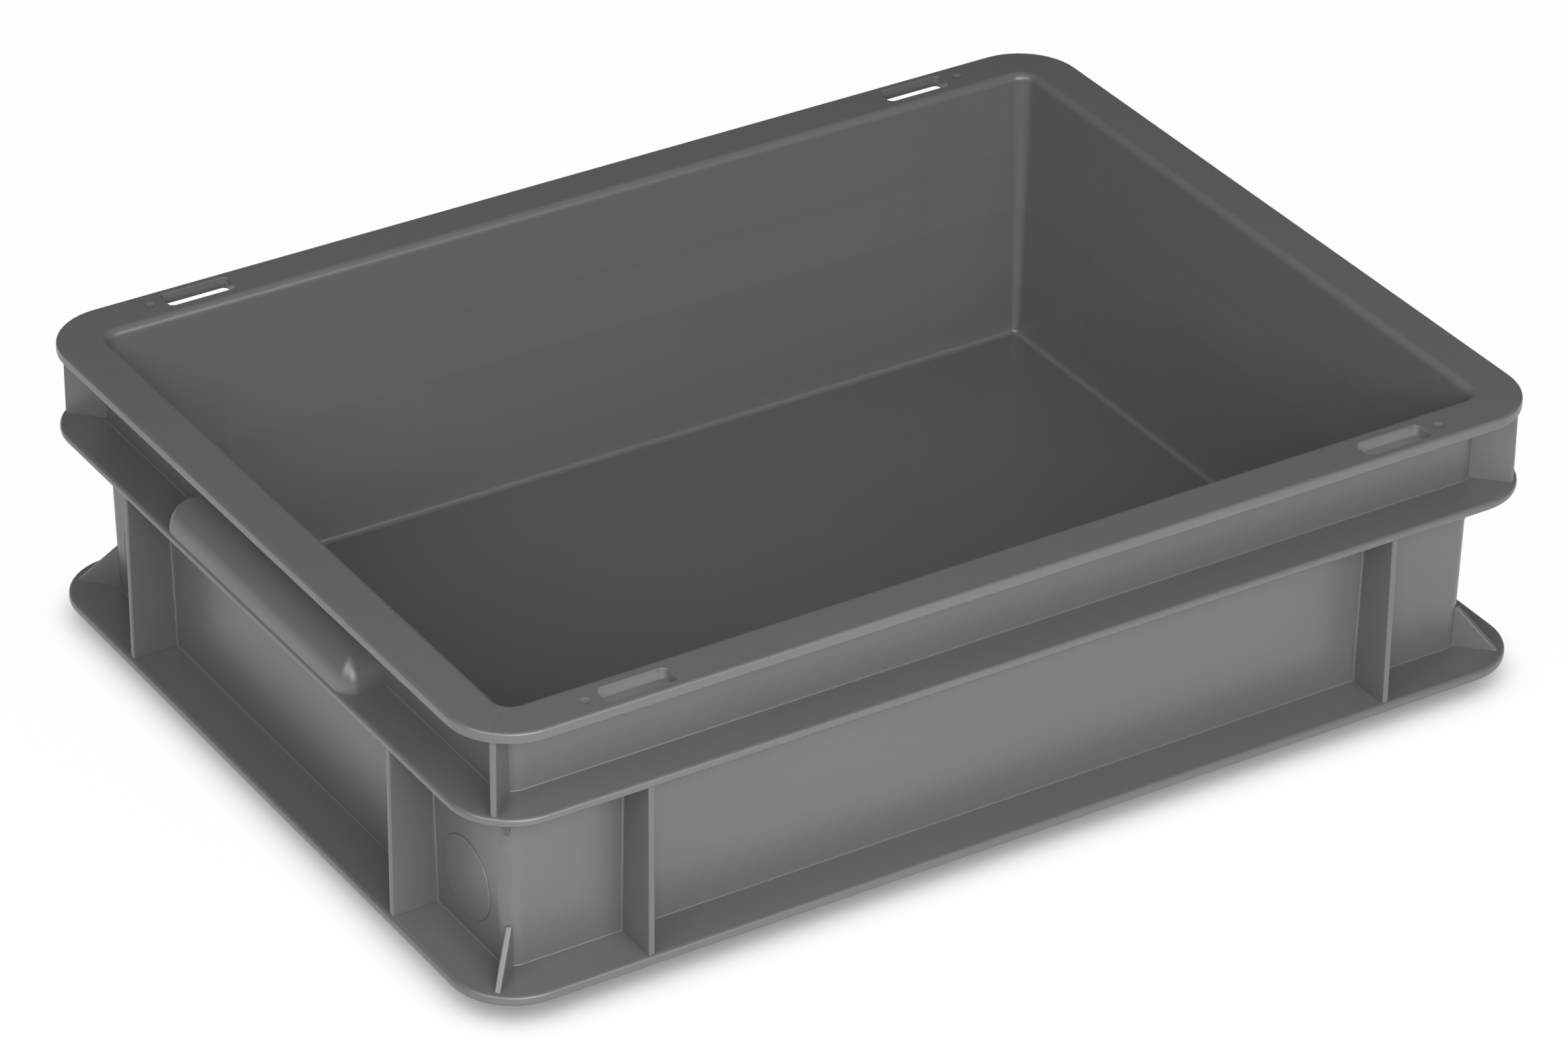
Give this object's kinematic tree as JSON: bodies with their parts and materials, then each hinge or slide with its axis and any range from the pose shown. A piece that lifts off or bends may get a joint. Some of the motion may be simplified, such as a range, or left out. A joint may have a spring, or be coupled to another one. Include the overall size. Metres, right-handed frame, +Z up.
{
  "type": "stacking plastic crate",
  "caption": "Low grey stacking crate with a flat slotted rim, flanged and ribbed walls, a closed floor and a hollow hand grip on each short side.",
  "frame": {"origin": "middle of the underside, in the plane that the crate stands on", "axes": "+X along the long side, +Y across, +Z up out of the open mouth"},
  "size_m": [0.4, 0.3, 0.106],
  "materials": {
    "polypropylene": "injection-moulded grey polypropylene, satin, with a fine grain"
  },
  "bodies": {
    "root": {"stacking_foot": "polypropylene", "floor_panel": "polypropylene", "base_flange": "polypropylene", "mid_flange": "polypropylene", "top_rim": "polypropylene", "wall_front": "polypropylene", "wall_back": "polypropylene", "wall_left": "polypropylene", "wall_right": "polypropylene", "corner_front_left": "polypropylene", "corner_front_right": "polypropylene", "corner_back_left": "polypropylene", "corner_back_right": "polypropylene", "rib_front_left": "polypropylene", "rib_front_right": "polypropylene", "rib_back_left": "polypropylene", "rib_back_right": "polypropylene", "rib_left_front": "polypropylene", "rib_left_back": "polypropylene", "rib_right_front": "polypropylene", "rib_right_back": "polypropylene", "rim_rib_front_left": "polypropylene", "rim_rib_front_right": "polypropylene", "rim_rib_back_left": "polypropylene", "rim_rib_back_right": "polypropylene", "foot_gusset_front_left": "polypropylene", "foot_gusset_front_right": "polypropylene", "foot_gusset_back_left": "polypropylene", "foot_gusset_back_right": "polypropylene", "web_gusset_front_left": "polypropylene", "web_gusset_front_right": "polypropylene", "web_gusset_back_left": "polypropylene", "web_gusset_back_right": "polypropylene", "grip_left": "polypropylene", "grip_right": "polypropylene", "disc_left_front": "polypropylene", "disc_left_back": "polypropylene", "disc_right_front": "polypropylene", "disc_right_back": "polypropylene"}
  },
  "joints": []
}
